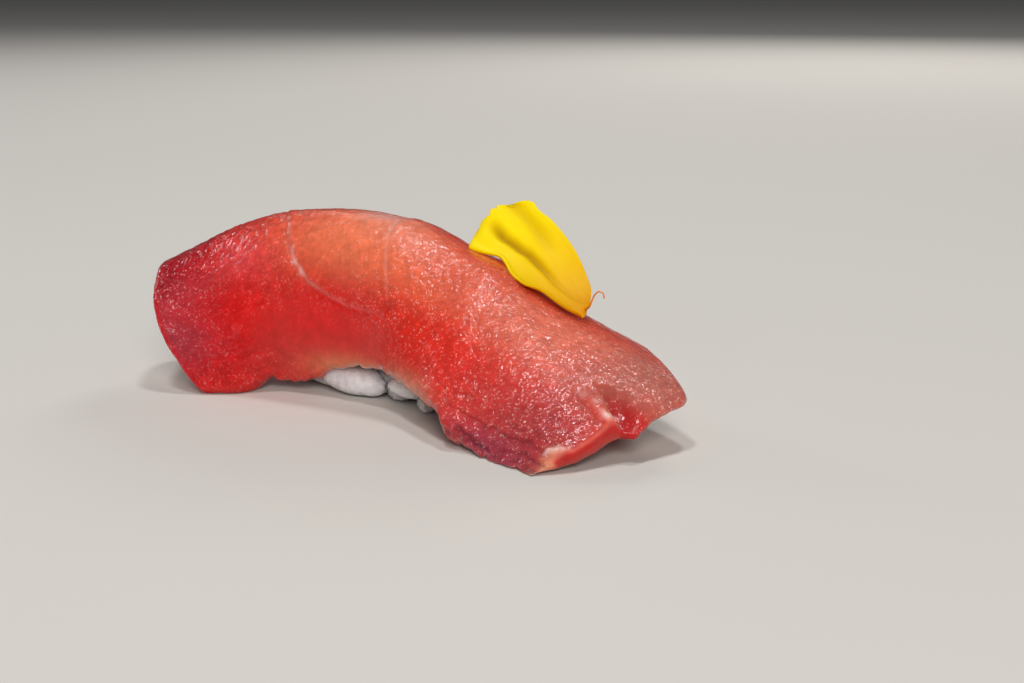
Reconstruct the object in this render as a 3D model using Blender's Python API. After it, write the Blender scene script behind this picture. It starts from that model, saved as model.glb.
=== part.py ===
"""Tuna nigiri: a slice of tuna draped over pressed rice, with a yellow petal on its shoulder."""
import bpy
import numpy as np

MM = 0.001      # lengths below are millimetres, angles are degrees
GAP = 0.42      # clear space kept between neighbouring solids

# Slice: x runs from the deep red end to the thin tip. Arc is the distance round the piece
# from its crest line, plus down the front and minus down the back.
#    x, crest z, crest y, front angle, front turn, back angle, back turn
STATIONS = (
    (-33, 11.2, 2.9, 30, 8.0, 30, 8.0),
    (-28, 14.2, 2.9, 38, 8.0, 34, 8.0),
    (-24, 16.2, 2.8, 46, 8.0, 38, 8.0),
    (-18, 18.8, 2.7, 68, 8.2, 44, 8.0),
    (-12, 20.5, 2.8, 82, 8.5, 48, 8.0),
    (-8, 21.1, 2.8, 96, 8.5, 50, 8.0),
    (-1, 21.5, 2.9, 99, 8.6, 51, 8.0),
    (6, 20.9, 3.1, 93, 8.8, 50, 8.0),
    (14, 18.05, 3.3, 76, 9.0, 48, 8.0),
    (23, 14.1, 3.6, 50, 9.0, 43, 8.0),
    (29, 11.6, 3.6, 42, 9.0, 39, 8.0),
    (34, 9.8, 3.4, 35, 9.0, 35, 8.0),
    (46, 4.8, 2.0, 22, 9.0, 25, 8.0),
)
FRONT_ARC = 25.0
BACK_ARC = 13.5
LEFT_EDGE = ((-13.5, -20.0), (-11, -23.2), (-8, -26.2), (-4, -29.3), (0, -30.9), (3, -30.2),
             (6, -28.3), (9, -26.4), (13, -24.1), (17, -21.3), (21, -18.3), (25, -14.7))  # arc, x
RIGHT_EDGE = ((-13.5, 21.5), (-11, 27.0), (-7, 34.4), (-4, 39.0), (-1, 43.0), (1, 43.6), (6, 42.8), (9, 42.3),
              (11, 41.3), (13, 40.3), (17, 39.5), (20, 38.6), (25, 36.4))     # arc, x
FRONT_EDGE = ((-18, 25.3), (-14, 25.1), (-11.4, 24.4), (-9.3, 23.3), (-5.8, 23.1), (-3.5, 22.4),
              (-1.3, 21.6), (1.2, 21.0), (4.8, 20.3), (8, 19.9), (13, 19.5), (17, 19.6),
              (20, 19.9), (22.4, 20.8), (25.3, 21.2), (34.6, 21.3), (40, 21.6))     # x, arc
THICKNESS = ((-33, 2.8), (-20, 4.2), (22, 4.4), (34, 3.5), (46, 2.6))   # x, thickness
FRONT_THINNING = 0.35       # part of the thickness lost toward the front edge
TIP = (37.8, 24.0, 7.5, 0.55)   # x, arc, reach and loss of thickness at the thin tip
RIM = 1.7                   # width of the rounding round the slice
RIM_ROUND = 2.4             # 2 is a circle, more is blunter
RAGGED = ((0.16, 1.45, 0.4), (0.12, 2.9, 2.0))      # height, radians per mm, phase
FOLD = ((34.0, 10.5), (42.5, 13.2), 0.75, 1.1)      # from, to (x, arc), height, half width
CLEFT = ((34.5, 12.8), (43.0, 15.2), -0.55, 0.9)
SINEW = ((-12.0, 0.5), (-1.0, 10.5), -0.28, 0.8)
SWELL = ((0.30, 0.21, 0.17, 0.6), (0.22, -0.34, 0.29, 2.1))     # height, per x, per arc, phase
FLOOR_SOFT = 0.16           # how softly the slice settles on the table

# Rice
RICE_X = (8.0, 24.5)        # middle and half length
RICE_AXIS = (6.5, 3.4)      # y and z of the line its sections are drawn round
RICE_HALF = (6.4, 7.5, 12.8)    # front, back and top reach of a section
RICE_SQUARE = 2.2           # 2 is an ellipse, more is boxier
RICE_END = 2.7
RICE_CLOSER = (0.45, 3.3)   # how much, and about which angle, the sections are finer
GRAIN_HALF = (3.9, 1.85)    # half length and half width
GRAIN_RELIEF = 0.95
GRAIN_COUNT = 210
# grains that show under the front edge: middle x, y, z and half sizes
FRONT_GRAINS = ((0.4, 0.7, 1.6, 4.3, 2.2, 1.6), (8.6, -0.4, 1.7, 3.0, 1.9, 1.7),
                (13.0, -0.6, 1.5, 2.8, 1.9, 1.5))

# Petal: its middle line runs from the base to the far end
PETAL_BASE = (29.4, 4.3, 12.5)
PETAL_END = (14.9, 7.9, 22.4)
PETAL_SIDE = ((0, 0.1), (0.3, 0.25), (0.5, 0.45), (0.85, 0.6), (1, 0.6))    # rise of its width
PETAL_LOWER = ((0, 0.4), (0.1, 1.1), (0.25, 2.1), (0.45, 3.5), (0.6, 3.5), (0.72, 3.2),
               (0.86, 4.3), (0.92, 5.0), (0.95, 3.1), (1.0, 0.9))
PETAL_UPPER = ((0, 0.6), (0.1, 2.6), (0.27, 4.2), (0.45, 4.7), (0.6, 4.7), (0.76, 4.8),
               (0.86, 4.9), (0.93, 4.2), (1.0, 2.0))
PETAL_THICK = 0.5
PETAL_CUP = 1.0             # depth of the channel along the petal
PETAL_BOW = -0.7            # rise of its middle over a straight line
PETAL_DROOP = 1.4           # fall of its lower far corner


def keyed(points, x):
    """Smooth curve through (position, value) pairs, straight beyond both ends."""
    at, value = np.array(points, float)[:, :2].T
    step = np.diff(at)
    slope = np.diff(value) / step
    before, after = slope[:-1], slope[1:]
    same = before * after > 0
    lean = np.concatenate([slope[:1], np.where(same, 2 * before * after
                          / np.where(same, before + after, 1), 0), slope[-1:]])
    i = np.clip(np.searchsorted(at, x) - 1, 0, len(at) - 2)
    t = (x - at[i]) / step[i]
    s = np.clip(t, 0, 1)
    inside = ((2 * s ** 3 - 3 * s ** 2 + 1) * value[i] + (3 * s ** 2 - 2 * s ** 3) * value[i + 1]
              + step[i] * ((s ** 3 - 2 * s ** 2 + s) * lean[i] + (s ** 3 - s ** 2) * lean[i + 1]))
    return inside + (np.minimum(t, 0) * lean[0] + np.maximum(t - 1, 0) * lean[-1]) * step[i]


def station(x, column):
    return keyed([(row[0], row[column]) for row in STATIONS], x)


def section(x, arc, depth):
    """Points at x, arc round from the crest and depth below the outer skin."""
    side = np.where(arc > 0, 1.0, -1.0)
    angle = np.radians(np.where(arc > 0, station(x, 3), station(x, 5)))
    turn = np.where(arc > 0, station(x, 4), station(x, 6))
    y, z = station(x, 2), station(x, 1)
    steps = 24
    for i in range(steps):
        lean = angle * np.tanh(np.abs(arc) * (i + 0.5) / steps / turn)
        y = y - np.cos(lean) * arc / steps
        z = z - np.sin(lean) * np.abs(arc) / steps
    lean = angle * np.tanh(np.abs(arc) / turn)
    fall = (station(x + 1, 1) - station(x - 1, 1)) / 2
    depth = depth * np.sqrt(1 + (fall * np.cos(lean)) ** 2)
    return np.stack([x + 0 * y, y + side * np.sin(lean) * depth, z - np.cos(lean) * depth], -1)


def ridge(x, arc, line):
    """A soft ridge or groove that grows from the first end of a line to the second."""
    (x0, a0), (x1, a1), height, half = line
    dx, da = x1 - x0, a1 - a0
    along = ((x - x0) * dx + (arc - a0) * da) / (dx ** 2 + da ** 2)
    across = ((x - x0) * da - (arc - a0) * dx) / np.hypot(dx, da)
    grow = np.clip(along, 0, 1) * (1 - np.clip((along - 1) * 4, 0, 1))
    return height * grow * np.exp(-(across / half) ** 2)


def thickness(x, arc):
    front = np.clip((arc - 12) / 12, 0, 1)
    tip_x, tip_arc, reach, loss = TIP
    tip = loss * np.exp(-((x - tip_x) ** 2 + (arc - tip_arc) ** 2) / reach ** 2)
    return keyed(THICKNESS, x) * (1 - FRONT_THINNING * front ** 2) * (1 - tip)


def rows(count, rim):
    """0 to 1, closer together inside the rim at both ends."""
    near = rim * np.array([0.0, 0.05, 0.2, 0.5])
    return np.concatenate([near, np.linspace(rim, 1 - rim, count), 1 - near[::-1]])


def front_edge(x):
    ragged = sum(height * np.sin(x * rate + phase) for height, rate, phase in RAGGED)
    return keyed(FRONT_EDGE, x) + ragged


def slice_skins():
    u = rows(42, 0.024)[:, None]
    v = rows(16, 0.05)[None, :]
    even = -BACK_ARC + (FRONT_ARC + BACK_ARC) * v
    left, right = keyed(LEFT_EDGE, even), keyed(RIGHT_EDGE, even)
    x = left + (right - left) * u
    reach = front_edge(x)
    arc = np.where(even > 0, even * reach / FRONT_ARC, even + 0 * x)
    full = 1.0
    for inward in (x - left, right - x, arc + BACK_ARC, reach - arc):
        near = np.clip(1 - inward / RIM, 0, 1)
        full = full * (1 - near ** RIM_ROUND) ** (1 / RIM_ROUND)
    lift = ridge(x, arc, FOLD) + ridge(x, arc, CLEFT) + ridge(x, arc, SINEW)
    for height, per_x, per_arc, phase in SWELL:
        swell = height * np.sin(x * per_x + arc * per_arc + phase)
        lift = lift + swell * np.clip(arc / 7, 0, 1)
    thick = thickness(x, arc)
    skins = [section(x, arc, thick / 2 * (1 - full) - lift * full),
             section(x, arc, thick / 2 * (1 + full))]
    for skin in skins:
        skin[..., 2] = (skin[..., 2] + np.sqrt(skin[..., 2] ** 2 + FLOOR_SOFT ** 2)) / 2
    return skins


def clear_of_slice(x, angle):
    """How far a ray from the rice axis may run before it nears the slice."""
    y0, z0 = RICE_AXIS
    arc = np.linspace(-BACK_ARC - 2.5, front_edge(x), 80)
    skin = section(x + 0 * arc, arc, thickness(x, arc) + GAP)
    turn = np.arctan2(skin[:, 2] - z0, skin[:, 1] - y0) % (2 * np.pi)
    out = np.hypot(skin[:, 1] - y0, skin[:, 2] - z0)
    order = np.argsort(turn)
    return np.interp(angle, turn[order], out[order], left=99)


def reach_of_grain(x, angle, grain):
    """How far a ray from the rice axis runs to the far side of a single grain."""
    gx, gy, gz, long, deep, high = grain
    cut = 1 - ((x - gx) / long) ** 2
    run, rise = np.cos(angle) / deep, np.sin(angle) / high
    from_y, from_z = (RICE_AXIS[0] - gy) / deep, (RICE_AXIS[1] - gz) / high
    square, half = run ** 2 + rise ** 2, run * from_y + rise * from_z
    inside = half ** 2 - square * (from_y ** 2 + from_z ** 2 - cut)
    return np.where((inside > 0) & (cut > 0), (np.sqrt(np.maximum(inside, 0)) - half) / square, 0)


def rice_rings(rings=50, around=36):
    rng = np.random.default_rng(5)
    middle, half = RICE_X
    y0, z0 = RICE_AXIS
    front, back, top = RICE_HALF
    more, about = RICE_CLOSER
    even = np.linspace(-np.pi / 2, 1.5 * np.pi, around, endpoint=False)
    angle = even - more * (np.sin(even - about) + np.sin(np.pi / 2 + about))
    # loose grains over the unrolled surface, each a low cap
    grain_x = rng.uniform(middle - half, middle + half, GRAIN_COUNT)
    grain_a = rng.uniform(-1.6, 4.8, GRAIN_COUNT)
    grain_turn = rng.uniform(-0.9, 0.9, GRAIN_COUNT)
    wide = np.where(np.cos(angle) > 0, back, front)
    tall = np.where(np.sin(angle) > 0, top, 2 * z0)
    oval = ((np.abs(np.cos(angle)) / wide) ** RICE_SQUARE
            + (np.abs(np.sin(angle)) / tall) ** RICE_SQUARE) ** (-1 / RICE_SQUARE)
    floor = np.where(np.sin(angle) < -0.01, z0 / np.maximum(-np.sin(angle), 0.01), 99)
    out = []
    for t in -np.cos(np.linspace(0, np.pi, rings + 2)[1:-1]):
        x = middle + half * t
        dx = x - grain_x[None, :]
        da = (angle[:, None] - grain_a[None, :]) * (front + back) / 2
        length = (dx * np.cos(grain_turn) + da * np.sin(grain_turn)) / GRAIN_HALF[0]
        width = (da * np.cos(grain_turn) - dx * np.sin(grain_turn)) / GRAIN_HALF[1]
        cap = np.sqrt(np.clip(1 - length ** 2 - width ** 2, 0, 1)).max(1)
        reach = oval * (1 - abs(t) ** RICE_END) ** (1 / RICE_END)
        reach = reach + GRAIN_RELIEF * (cap - 0.6) * min(1, 3 * (1 - abs(t)))
        reach = np.minimum(reach, clear_of_slice(x, angle))
        for grain in FRONT_GRAINS:
            reach = np.maximum(reach, reach_of_grain(x, angle, grain))
        reach = np.minimum(reach, floor)
        out.append(np.stack([x + 0 * angle, y0 + reach * np.cos(angle),
                             z0 + reach * np.sin(angle)], -1))
    return np.array(out), [(middle - half, y0, z0), (middle + half, y0, z0)]


def petal_skins():
    along = rows(15, 0.03)[:, None]
    across = rows(8, 0.05)[None, :] * 2 - 1
    base, end = np.array(PETAL_BASE), np.array(PETAL_END)
    line = (end - base) / np.linalg.norm(end - base)
    side = np.stack([0.2 + 0 * along, 1 + 0 * along, keyed(PETAL_SIDE, along)], -1)
    side = side - (side @ line)[..., None] * line
    side = side / np.linalg.norm(side, axis=-1, keepdims=True)
    up = np.cross(line, side)
    up = up * np.sign(up[..., 2:])
    wide = np.where(across < 0, keyed(PETAL_LOWER, along), keyed(PETAL_UPPER, along)) * across
    cup = PETAL_CUP * (1 - across ** 2) * np.sin(np.pi * np.clip(along * 0.8 + 0.15, 0, 1))
    rise = PETAL_BOW * np.sin(np.pi * along) - cup
    rise = rise - PETAL_DROOP * np.maximum(-across, 0) ** 2 * along ** 3
    middle = base + along[..., None] * (end - base) + wide[..., None] * side + rise[..., None] * up
    near = np.clip(1 - np.minimum(np.minimum(along, 1 - along) * 14, (1 - np.abs(across)) * 4), 0, 1)
    half = PETAL_THICK / 2 * np.sqrt(1 - near ** 2)
    return [middle + half[..., None] * up, middle - half[..., None] * up]


def skins_mesh(skins):
    """Closed mesh of two grids that share their border."""
    top, under = skins
    n, m = top.shape[:2]
    index = np.arange(n * m).reshape(n, m)
    inner = index.copy()
    inner[1:-1, 1:-1] = n * m + np.arange((n - 2) * (m - 2)).reshape(n - 2, m - 2)
    points = np.concatenate([top.reshape(-1, 3), under[1:-1, 1:-1].reshape(-1, 3)])
    faces = []
    for grid, turned in ((index, False), (inner, True)):
        quads = np.stack([grid[:-1, :-1], grid[1:, :-1], grid[1:, 1:], grid[:-1, 1:]], -1)
        quads = quads.reshape(-1, 4)
        faces += (quads[:, ::-1] if turned else quads).tolist()
    return points, faces


def rings_mesh(rings, poles):
    """Closed mesh of rings with a pole at each end."""
    n, m = rings.shape[:2]
    index = np.arange(n * m).reshape(n, m)
    following = np.roll(index, -1, 1)
    quads = np.stack([index[:-1], following[:-1], following[1:], index[1:]], -1).reshape(-1, 4)
    faces = quads.tolist()
    faces += [[n * m, b, a] for a, b in zip(index[0], following[0])]
    faces += [[n * m + 1, a, b] for a, b in zip(index[-1], following[-1])]
    return np.concatenate([rings.reshape(-1, 3), poles]), faces


def volume(points, faces):
    total = 0.0
    for face in faces:
        for b, c in zip(face[1:], face[2:]):
            total += np.dot(points[face[0]], np.cross(points[b], points[c])) / 6
    return total


def node(name, mesh_data, shift, colour, roughness):
    points, faces = mesh_data
    if volume(points, faces) < 0:
        faces = [face[::-1] for face in faces]
    mesh = bpy.data.meshes.new(name)
    mesh.from_pydata(((points - shift) * MM).tolist(), [], faces)
    mesh.polygons.foreach_set("use_smooth", [True] * len(mesh.polygons))
    mesh.validate()
    obj = bpy.data.objects.new(name, mesh)
    bpy.context.scene.collection.objects.link(obj)
    material = bpy.data.materials.new(name)
    material.use_nodes = True
    shader = material.node_tree.nodes["Principled BSDF"]
    shader.inputs["Base Color"].default_value = (*colour, 1)
    shader.inputs["Roughness"].default_value = roughness
    shader.inputs["Metallic"].default_value = 0
    mesh.materials.append(material)


for old in list(bpy.data.objects):
    bpy.data.objects.remove(old)

parts = (
    ("tuna_slice", skins_mesh(slice_skins()), (0.55, 0.085, 0.055), 0.25),
    ("rice", rings_mesh(*rice_rings()), (0.72, 0.71, 0.68), 0.45),
    ("petal", skins_mesh(petal_skins()), (0.90, 0.62, 0.01), 0.50),
)
# the origin goes under the middle of the whole piece, on the table
every = np.concatenate([mesh_data[0] for _, mesh_data, _, _ in parts])
low, high = every.min(0), every.max(0)
SHIFT = np.array([(low[0] + high[0]) / 2, (low[1] + high[1]) / 2, low[2]])
for part_name, part_mesh, part_colour, part_roughness in parts:
    node(part_name, part_mesh, SHIFT, part_colour, part_roughness)
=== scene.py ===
import math
import bpy
import numpy as np
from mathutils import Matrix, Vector


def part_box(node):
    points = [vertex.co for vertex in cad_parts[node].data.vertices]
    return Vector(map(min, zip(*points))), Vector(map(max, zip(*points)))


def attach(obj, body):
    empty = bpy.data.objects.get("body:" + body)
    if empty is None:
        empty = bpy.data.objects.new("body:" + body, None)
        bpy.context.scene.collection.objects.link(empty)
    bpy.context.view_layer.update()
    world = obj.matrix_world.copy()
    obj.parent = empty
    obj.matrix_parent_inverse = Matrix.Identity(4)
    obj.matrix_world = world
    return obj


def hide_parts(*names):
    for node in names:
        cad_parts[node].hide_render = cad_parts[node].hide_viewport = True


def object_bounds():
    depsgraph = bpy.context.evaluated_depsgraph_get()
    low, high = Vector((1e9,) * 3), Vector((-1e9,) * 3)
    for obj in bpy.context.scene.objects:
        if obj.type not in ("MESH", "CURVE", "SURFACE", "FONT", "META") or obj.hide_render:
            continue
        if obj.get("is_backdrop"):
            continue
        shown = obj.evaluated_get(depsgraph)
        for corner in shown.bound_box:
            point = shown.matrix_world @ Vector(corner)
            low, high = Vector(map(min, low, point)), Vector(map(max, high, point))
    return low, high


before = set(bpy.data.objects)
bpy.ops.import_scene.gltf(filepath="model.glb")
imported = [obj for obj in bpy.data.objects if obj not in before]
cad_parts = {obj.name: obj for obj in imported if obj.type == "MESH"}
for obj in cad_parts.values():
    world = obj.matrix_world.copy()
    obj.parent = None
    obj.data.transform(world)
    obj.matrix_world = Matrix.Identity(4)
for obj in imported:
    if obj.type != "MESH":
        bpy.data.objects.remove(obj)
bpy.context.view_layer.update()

mm = 0.001      # shapes below are worked out in millimetres
# The drawing frame: x along the slice, y away from the front, z up from the table.
sliceCorner = np.array([-30.9, -15.948, 0.013])     # low corner of the slice in that frame
drawingOrigin = np.array(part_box("tuna_slice")[0]) / mm - sliceCorner


def keyed(points, x, column=1):
    # a cubic through one column of values, keyed by column 0, that never overshoots and runs
    # straight on beyond both ends
    at, value = np.array(points, float)[:, [0, column]].T
    step = np.diff(at)
    slope = np.diff(value) / step
    before, after = slope[:-1], slope[1:]
    same = before * after > 0
    bend = np.where(same, 2 * before * after / np.where(same, before + after, 1), 0)
    lean = np.concatenate([slope[:1], bend, slope[-1:]])
    i = np.clip(np.searchsorted(at, x) - 1, 0, len(at) - 2)
    t = (x - at[i]) / step[i]
    s = np.clip(t, 0, 1)
    inside = ((2 * s ** 3 - 3 * s ** 2 + 1) * value[i] + (3 * s ** 2 - 2 * s ** 3) * value[i + 1]
              + step[i] * ((s ** 3 - 2 * s ** 2 + s) * lean[i] + (s ** 3 - s ** 2) * lean[i + 1]))
    return inside + (np.minimum(t, 0) * lean[0] + np.maximum(t - 1, 0) * lean[-1]) * step[i]


def smooth(low, high, x):
    # 0 below low, 1 above high, an s-curve between them
    t = np.clip((x - low) / (high - low), 0, 1)
    return t * t * (3 - 2 * t)


def unit(vector):
    # directions of length 1, one for each row
    return vector / np.linalg.norm(vector, axis=-1, keepdims=True)


def bell(*offsets):
    # 1 in the middle, falling off as exp(-r ** 2), with each offset counted in its own reach
    return np.exp(-sum(offset ** 2 for offset in offsets))


def strongest(spots, x, arc):
    # bells given as middle x, middle arc, reach x, reach arc and strength: the strongest counts
    return np.maximum.reduce([strength * bell((x - midX) / reachX, (arc - midArc) / reachArc)
                              for midX, midArc, reachX, reachArc, strength in spots])


def lumps(x, y, size, seed, turn=0.5):
    # random heights from -1 to 1 on a lattice `size` mm apart, turned, joined by s-curves
    rows, columns = 97, 89      # the lattice repeats after so many steps
    shiftX, shiftY = 311, 277   # where in the lattice the drawing's origin lies
    table = np.random.default_rng(seed).uniform(-1, 1, (rows, columns))
    c, s = math.cos(turn), math.sin(turn)
    a, b = (x * c + y * s) / size + shiftX, (y * c - x * s) / size + shiftY
    i, j = np.floor(a).astype(int), np.floor(b).astype(int)
    p, q = smooth(0, 1, a - i), smooth(0, 1, b - j)

    def at(di, dj):
        return table[(i + di) % rows, (j + dj) % columns]
    near = at(0, 0) + (at(1, 0) - at(0, 0)) * p
    far = at(0, 1) + (at(1, 1) - at(0, 1)) * p
    return near + (far - near) * q


def lineDistance(x, y, points):
    # signed distance to a broken line (plus is on its left), and how far along it from 0 to 1
    best, along = np.full(np.shape(x), np.inf), np.zeros(np.shape(x))
    for k, ((x0, y0), (x1, y1)) in enumerate(zip(points[:-1], points[1:])):
        dx, dy = x1 - x0, y1 - y0
        t = np.clip(((x - x0) * dx + (y - y0) * dy) / (dx * dx + dy * dy), 0, 1)
        away = np.hypot(x - x0 - t * dx, y - y0 - t * dy)
        signed = np.where((x - x0) * dy > (y - y0) * dx, -away, away)
        closer = away < np.abs(best)
        best = np.where(closer, signed, best)
        along = np.where(closer, (k + t) / (len(points) - 1), along)
    return best, along


def linear(hexColour):
    # sRGB hex to linear light
    value = np.array([int(hexColour[i:i + 2], 16) / 255 for i in (1, 3, 5)])
    return np.where(value < 0.04045, value / 12.92, ((value + 0.055) / 1.055) ** 2.4)


def blend(colour, hexColour, share):
    # each point's colour moved toward one hex colour by that point's share
    return colour + (linear(hexColour) - colour) * share[..., None]


def addObject(name, data):
    thing = bpy.data.objects.new(name, data)
    bpy.context.scene.collection.objects.link(thing)
    return thing


def faceOut(points, groups):
    # six times the volume under the faces; if it is less than nothing, every face is turned round
    total = 0.0
    for group in groups:
        for k in range(1, group.shape[1] - 1):
            a, b, c = points[group[:, 0]], points[group[:, k]], points[group[:, k + 1]]
            total += np.einsum("ij,ij->i", a, np.cross(b, c)).sum()
    return groups if total > 0 else [group[:, ::-1] for group in groups]


def addMesh(name, points, groups, material, replaced=None, attributes=None):
    # points in drawing millimetres; each group holds faces with equal numbers of corners, a row
    # of point numbers a face; attributes have one value or one colour a point
    faces = [face for group in faceOut(points, groups) for face in group.tolist()]
    mesh = bpy.data.meshes.new(name)
    mesh.from_pydata((points + drawingOrigin) * mm, [], faces)
    mesh.shade_smooth()
    for key, values in (attributes or {}).items():
        kind, field = "FLOAT", "value"
        if values.ndim == 2:
            kind, field = "FLOAT_COLOR", "color"
            values = np.column_stack([values, np.ones(len(values))])
        layer = mesh.attributes.new(key, kind, "POINT")
        layer.data.foreach_set(field, values.astype(np.float32).ravel())
    mesh.validate(clean_customdata=False)
    piece = addObject(name, mesh)
    mesh.materials.append(material)
    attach(piece, "root")
    if replaced:
        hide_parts(replaced)


def cells(grid):
    # the squares between neighbouring rows and columns of point numbers
    return np.stack([grid[:-1, :-1], grid[1:, :-1], grid[1:, 1:], grid[:-1, 1:]], -1).reshape(-1, 4)


def closedRings(body, ends):
    # points and faces of a stack of rings, with a fan over each end to one further point
    count = body.shape[0] * body.shape[1]
    grid = np.arange(count).reshape(body.shape[:2])
    rings = np.concatenate([grid, grid[:, :1]], 1)
    first, last = rings[0], rings[-1]
    fans = np.concatenate([np.stack([0 * first[1:] + count, first[1:], first[:-1]], 1),
                           np.stack([0 * last[1:] + count + 1, last[:-1], last[1:]], 1)])
    return np.concatenate([body.reshape(-1, 3), ends]), [cells(rings), fans]


def joinSkins(top, below):
    # the lower skin shares the rim of the upper one
    below = below[1:-1, 1:-1]
    return np.concatenate([top.reshape(-1, *top.shape[2:]), below.reshape(-1, *below.shape[2:])])


def skinNumbers(n, m):
    # point numbers of both skins, as joinSkins puts them in order
    index = np.arange(n * m).reshape(n, m)
    inner = index.copy()
    inner[1:-1, 1:-1] = n * m + np.arange((n - 2) * (m - 2)).reshape(n - 2, m - 2)
    return index, inner


def setNode(node, settings=None, links=None):
    # settings: property or input name to value, hex colours made linear; links: input name to
    # an output, or to a node for its first output
    for key, value in (settings or {}).items():
        if isinstance(value, str) and value.startswith("#"):
            value = (*linear(value), 1)
        if isinstance(key, str) and hasattr(node, key):
            setattr(node, key, value)
        else:
            node.inputs[key].default_value = value
    for key, source in (links or {}).items():
        node.id_data.links.new(getattr(source, "outputs", (source,))[0], node.inputs[key])
    return node


def newMaterial(name):
    # a material, its shader, and the function that adds a node with its settings and links
    material = bpy.data.materials.new(name)
    material.use_nodes = True
    nodes = material.node_tree.nodes

    def addNode(kind, settings=None, links=None):
        return setNode(nodes.new("ShaderNode" + kind), settings, links)
    return material, nodes["Principled BSDF"], addNode


def glintFlecks(addNode, place, scale, reach, most):
    # spots on a stirred lattice, each of its own strength, with the weakest third left out;
    # `scale` is spots a metre, and `reach` is how wide they grow, in cells
    stir = addNode("TexNoise", {"Scale": 2600.0, "Detail": 1.0}, {"Vector": place})
    stirred = addNode("VectorMath", {"operation": "MULTIPLY_ADD", 1: (0.0005,) * 3},
                      {0: stir.outputs["Color"], 2: place})
    lattice = addNode("TexVoronoi", {"Scale": scale}, {"Vector": stirred})
    spot = addNode("MapRange", {"From Min": reach, "From Max": 0.12}, {"Value": lattice})
    chance = addNode("SeparateColor", None, {"Color": lattice.outputs["Color"]})
    bright = addNode("MapRange", {"From Min": 0.35, "To Max": most}, {"Value": chance.outputs["Red"]})
    return addNode("Math", {"operation": "MULTIPLY"}, {0: spot, 1: bright})


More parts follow.
